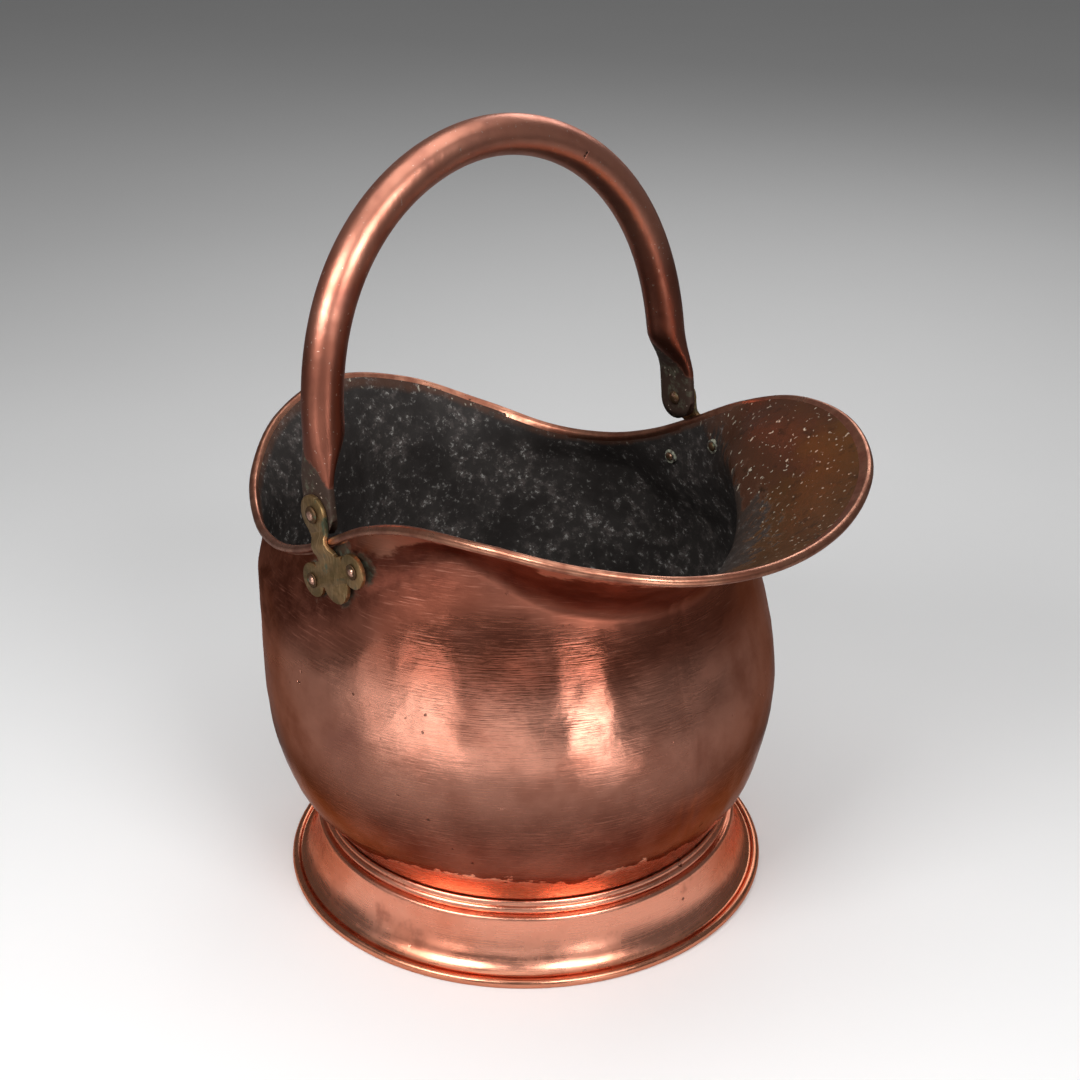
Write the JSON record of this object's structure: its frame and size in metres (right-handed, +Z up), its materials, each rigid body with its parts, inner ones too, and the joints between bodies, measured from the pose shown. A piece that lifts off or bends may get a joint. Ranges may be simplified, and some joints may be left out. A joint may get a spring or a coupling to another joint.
{
  "type": "coal scuttle",
  "caption": "Raised copper helmet coal scuttle with a flared pouring lip, wired rim, spun foot ring and a tubular bail that swings on riveted brass lugs.",
  "frame": {"origin": "on the floor, under the middle of the scuttle's length and width", "axes": "+X towards the pouring lip, +Y to the left-hand lug, +Z up; the foot's own axis is at x = -0.005"},
  "size_m": [0.3922, 0.2938, 0.4393],
  "materials": {
    "bowl_copper": "aged copper, hand-polished satin with scratches outside, soot black inside",
    "foot_copper": "spun copper, polished satin, browned in the hollows",
    "bail_copper": "handled copper tube, brown and satin",
    "lug_brass": "aged brass, dull, olive brown with verdigris",
    "rivet_copper": "copper rivets, browned, worn bright on the crowns",
    "sooted_copper": "copper darkened by soot",
    "iron_wire": "black iron wire, hidden in the rolled edges"
  },
  "bodies": {
    "scuttle": {"bowl": "bowl_copper", "rim_wire": "iron_wire", "foot": "foot_copper", "foot_wire": "iron_wire", "lug_right": "lug_brass", "lug_left": "lug_brass", "pivot_rivet_right": "rivet_copper", "pivot_rivet_left": "rivet_copper", "rivet_back_right": "rivet_copper", "rivet_back_left": "rivet_copper", "rivet_front_right": "rivet_copper", "rivet_front_left": "rivet_copper", "rove_back_right": "sooted_copper", "rove_back_left": "sooted_copper", "rove_front_right": "sooted_copper", "rove_front_left": "sooted_copper"},
    "bail": {"bail": "bail_copper"}
  },
  "joints": [
    {"name": "bail_swing", "type": "hinge", "parent": "scuttle", "child": "bail", "pos_m": [-0.017, 0, 0.255], "axis": [0, 1, 0], "range_deg": [-82, 72]}
  ]
}
